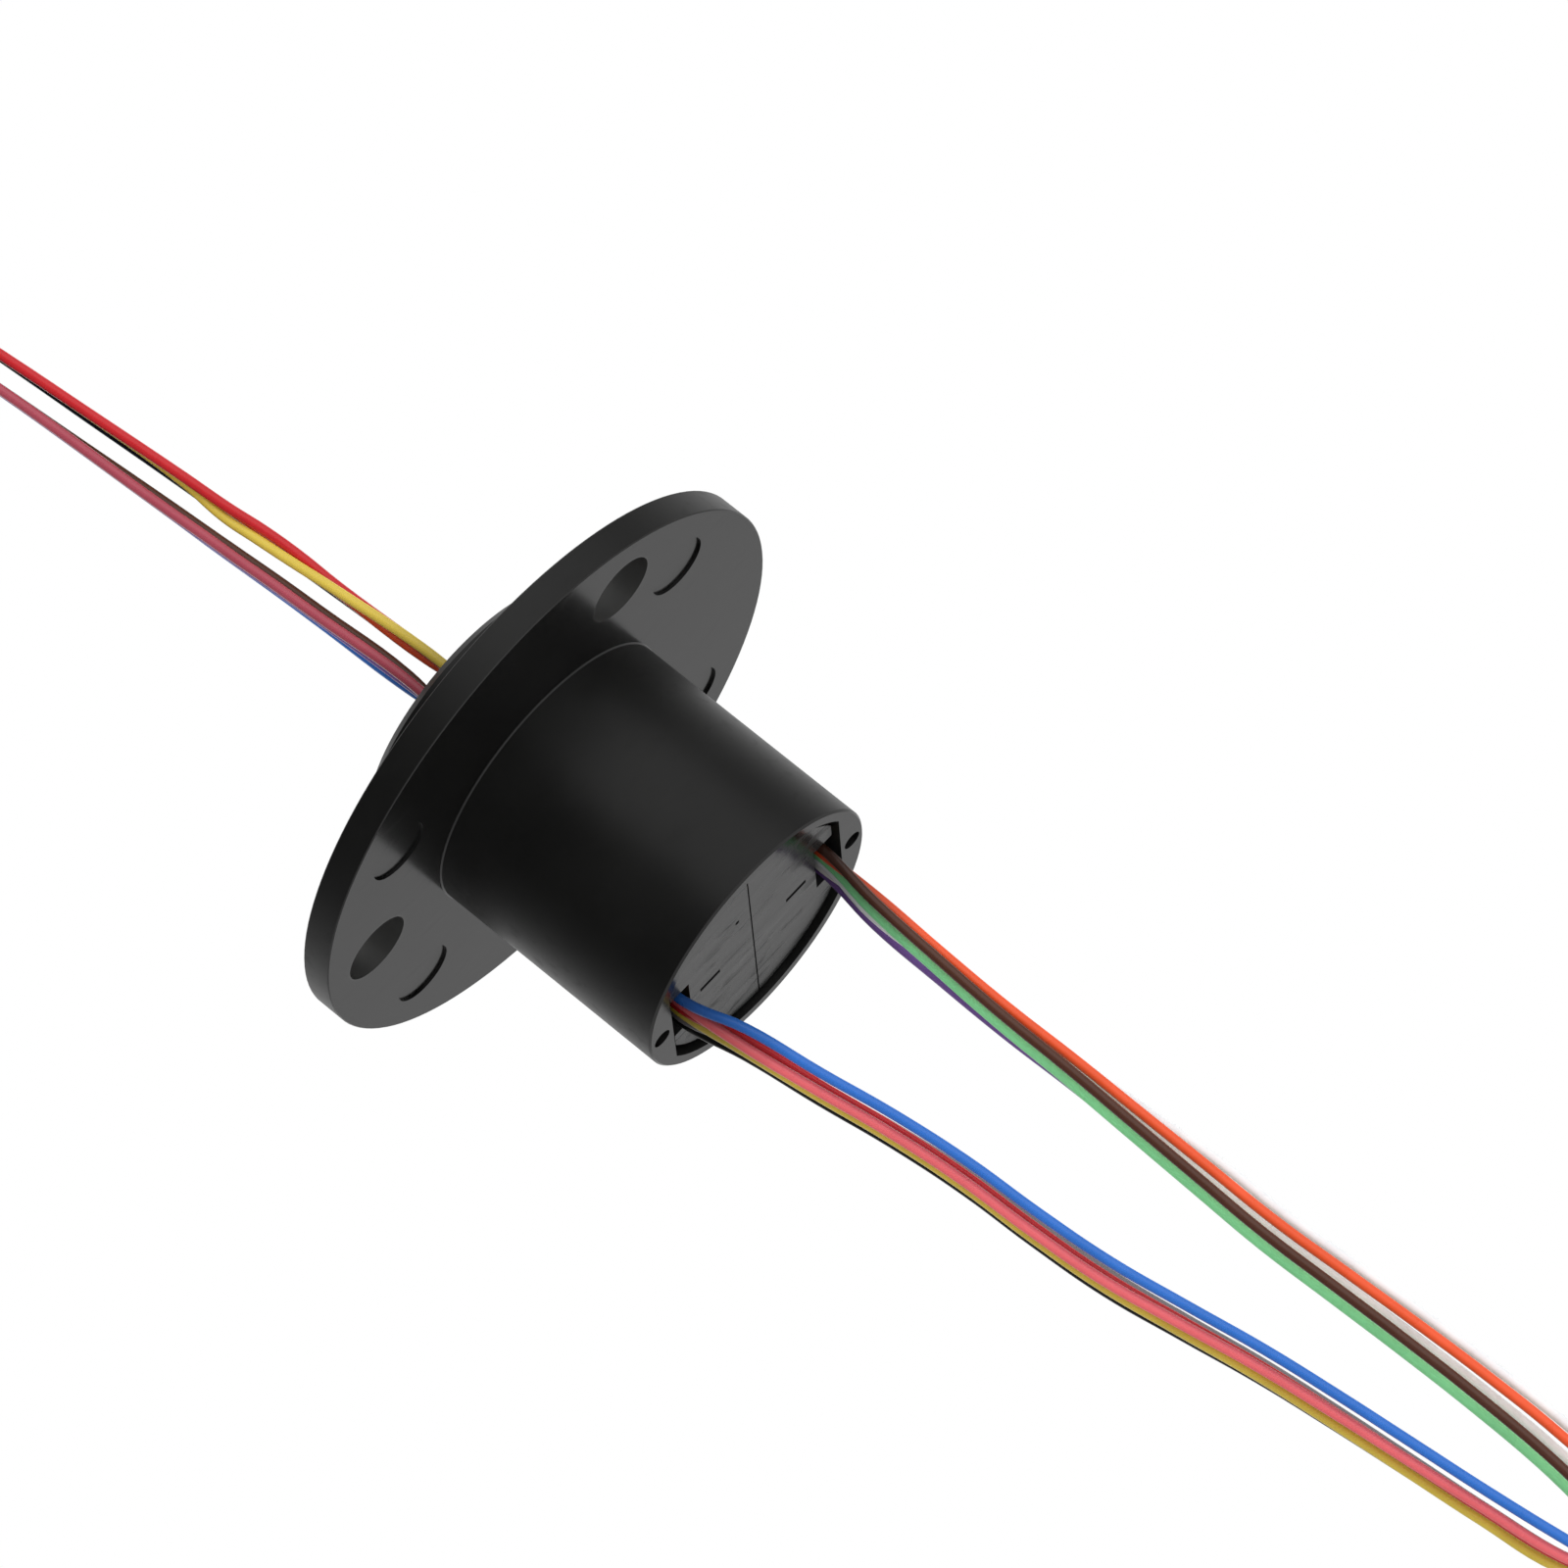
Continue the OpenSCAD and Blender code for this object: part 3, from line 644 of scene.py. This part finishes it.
drawn_gold = gold("drawn_gold_wire", (0.8, 0.58, 0.24), (0.62, 0.4, 0.14), 6000, (0.03, 1, 1))
turned_gold = gold(
    "turned_gold_ring", (0.86, 0.64, 0.28), (0.7, 0.47, 0.17), 12000, (0.03, 0.03, 1))
dress("brush_wires_a", drawn_gold)
dress("brush_wires_b", drawn_gold)
for name in nodes.keys():
    if name.startswith("contact_ring_"):
        dress(name, turned_gold)

# --- Bearings ---
# Two ball bearings with ground steel races. The rings show the grinding as fine circles.


def bearing_steel(name, colour, roughness, stretch):
    """Hardened steel, ground or polished."""
    material = bpy.data.materials.new(name)
    material.use_nodes = True
    tree = material.node_tree
    link = tree.links.new
    shader = tree.nodes["Principled BSDF"]
    shader.inputs["Metallic"].default_value = 1
    place = tree.nodes.new("ShaderNodeTexCoord")
    squeeze = tree.nodes.new("ShaderNodeMapping")
    squeeze.inputs["Scale"].default_value = stretch
    link(place.outputs["Object"], squeeze.inputs["Vector"])
    marks = tree.nodes.new("ShaderNodeTexNoise")
    marks.inputs["Scale"].default_value = 7000
    marks.inputs["Detail"].default_value = 3
    link(squeeze.outputs["Vector"], marks.inputs["Vector"])
    shade = tree.nodes.new("ShaderNodeValToRGB")
    shade.color_ramp.elements[0].color = (*[c * 0.8 for c in colour], 1)
    shade.color_ramp.elements[1].color = (*colour, 1)
    link(marks.outputs["Fac"], shade.inputs["Fac"])
    link(shade.outputs["Color"], shader.inputs["Base Color"])
    gloss = tree.nodes.new("ShaderNodeMapRange")
    gloss.inputs["To Min"].default_value = roughness
    gloss.inputs["To Max"].default_value = roughness + 0.15
    link(marks.outputs["Fac"], gloss.inputs["Value"])
    link(gloss.outputs["Result"], shader.inputs["Roughness"])
    return material


ground = bearing_steel("ground_race_steel", (0.56, 0.57, 0.59), 0.2, (0.05, 0.05, 1))
polished = bearing_steel("polished_ball_steel", (0.66, 0.67, 0.69), 0.08, (1, 1, 1))
for level in ("lower", "upper"):
    dress(level + "_outer_race", ground)
    dress(level + "_inner_race", ground)
    dress(level + "_ball_set", polished)

# --- Ring carrier and hub ---
# The carrier is one moulding of ivory liquid-crystal polymer. The black hub caps the shaft's end,
# and dark epoxy fills the shaft's mouth round the leads.
dress("rotor_core", moulded("ivory_polymer", (0.68, 0.62, 0.5), (0.8, 0.75, 0.63), 900, 0.45, 0.1))
dress("rotor_hub", black_moulding("hub_nylon", (0.009, 0.009, 0.009), 0.24, 0.34, 0.12, 0.1))
epoxy = moulded("dark_epoxy", (0.01, 0.008, 0.007), (0.03, 0.025, 0.022), 700, 0.2, 0.5)
dress("lead_potting", epoxy)

# --- Studio ---
# A white cloth curves behind the object and a dark room lies on the camera's side, so the black
# plastic mirrors white at its edges only. Broad lamps light the colours evenly.
world = bpy.data.worlds.new("studio")
scene.world = world
world.use_nodes = True
tree = world.node_tree
link = tree.links.new
soft = tree.nodes["Background"]
soft.inputs["Color"].default_value = (1, 1, 1, 1)
soft.inputs["Strength"].default_value = 0.62
shown = tree.nodes.new("ShaderNodeBackground")
shown.inputs["Color"].default_value = (1, 1, 1, 1)
towards = tree.nodes.new("ShaderNodeTexCoord")
facing = tree.nodes.new("ShaderNodeVectorMath")
facing.operation = "DOT_PRODUCT"
facing.inputs[1].default_value = (0.285, 0.909, 0.304)
link(towards.outputs["Generated"], facing.inputs[0])
half = tree.nodes.new("ShaderNodeMapRange")
half.inputs["From Min"].default_value = -1
link(facing.outputs["Value"], half.inputs["Value"])
cloth = tree.nodes.new("ShaderNodeValToRGB")
cloth.color_ramp.elements[0].position = 0.42
cloth.color_ramp.elements[0].color = (0.015, 0.015, 0.015, 1)
cloth.color_ramp.elements[1].color = (1, 1, 1, 1)
for place, white in ((0.72, 0.3), (0.9, 0.68)):
    stop = cloth.color_ramp.elements.new(place)
    stop.color = (white, white, white, 1)
link(half.outputs["Result"], cloth.inputs["Fac"])
mirrored = tree.nodes.new("ShaderNodeBackground")
mirrored.inputs["Strength"].default_value = 1.1
link(cloth.outputs["Color"], mirrored.inputs["Color"])
rays = tree.nodes.new("ShaderNodeLightPath")
gloss_mix = tree.nodes.new("ShaderNodeMixShader")
link(rays.outputs["Is Glossy Ray"], gloss_mix.inputs["Fac"])
link(soft.outputs[0], gloss_mix.inputs[1])
link(mirrored.outputs[0], gloss_mix.inputs[2])
either = tree.nodes.new("ShaderNodeMath")
either.operation = "MAXIMUM"
link(rays.outputs["Is Camera Ray"], either.inputs[0])
link(rays.outputs["Is Transmission Ray"], either.inputs[1])
mix = tree.nodes.new("ShaderNodeMixShader")
link(either.outputs[0], mix.inputs["Fac"])
link(gloss_mix.outputs[0], mix.inputs[1])
link(shown.outputs[0], mix.inputs[2])
link(mix.outputs[0], tree.nodes["World Output"].inputs["Surface"])


def lamp(name, place, aim, size, power):
    """A broad square lamp, seen only by what it lights."""
    light = bpy.data.lights.new(name, "AREA")
    light.size = size
    light.energy = power
    stand = bpy.data.objects.new(name, light)
    turn = (Vector(place) - Vector(aim)).to_track_quat("Z", "Y").to_matrix().to_4x4()
    stand.matrix_world = Matrix.Translation(place) @ turn
    stand.visible_camera = False
    scene.collection.objects.link(stand)
    return stand


middle = (0, 0, -0.06)
key_place = (0.19, -0.44, 0.1)
lamp("key_lamp", key_place, middle, 0.7, 1.1)
bounce = lamp("bounce_lamp", key_place, middle, 0.4, 1.8)
bounce.visible_glossy = False
fill = lamp("fill_lamp", (-0.25, -0.5, -0.2), middle, 0.3, 0.5)
fill.visible_glossy = False

# The floor lies well under the hank and keeps the shadow. It shows three quarters white.
bpy.ops.object.select_all(action="DESELECT")
bpy.ops.mesh.primitive_plane_add(size=4, location=(0, 0, -0.4))
floor = bpy.context.object
floor.name = "floor"
paper = bpy.data.materials.new("floor_paper")
paper.use_nodes = True
tree = paper.node_tree
link = tree.links.new
shader = tree.nodes["Principled BSDF"]
shader.inputs["Base Color"].default_value = (0.85, 0.85, 0.85, 1)
shader.inputs["Roughness"].default_value = 0.9
white = tree.nodes.new("ShaderNodeEmission")
white.inputs["Color"].default_value = (1, 1, 1, 1)
rays = tree.nodes.new("ShaderNodeLightPath")
share = tree.nodes.new("ShaderNodeMath")
share.operation = "MULTIPLY"
share.inputs[1].default_value = 0.75
link(rays.outputs["Is Camera Ray"], share.inputs[0])
mix = tree.nodes.new("ShaderNodeMixShader")
link(share.outputs[0], mix.inputs["Fac"])
link(shader.outputs[0], mix.inputs[1])
link(white.outputs[0], mix.inputs[2])
link(mix.outputs[0], tree.nodes["Material Output"].inputs["Surface"])
floor.data.materials.append(paper)

scene.view_settings.view_transform = "Standard"
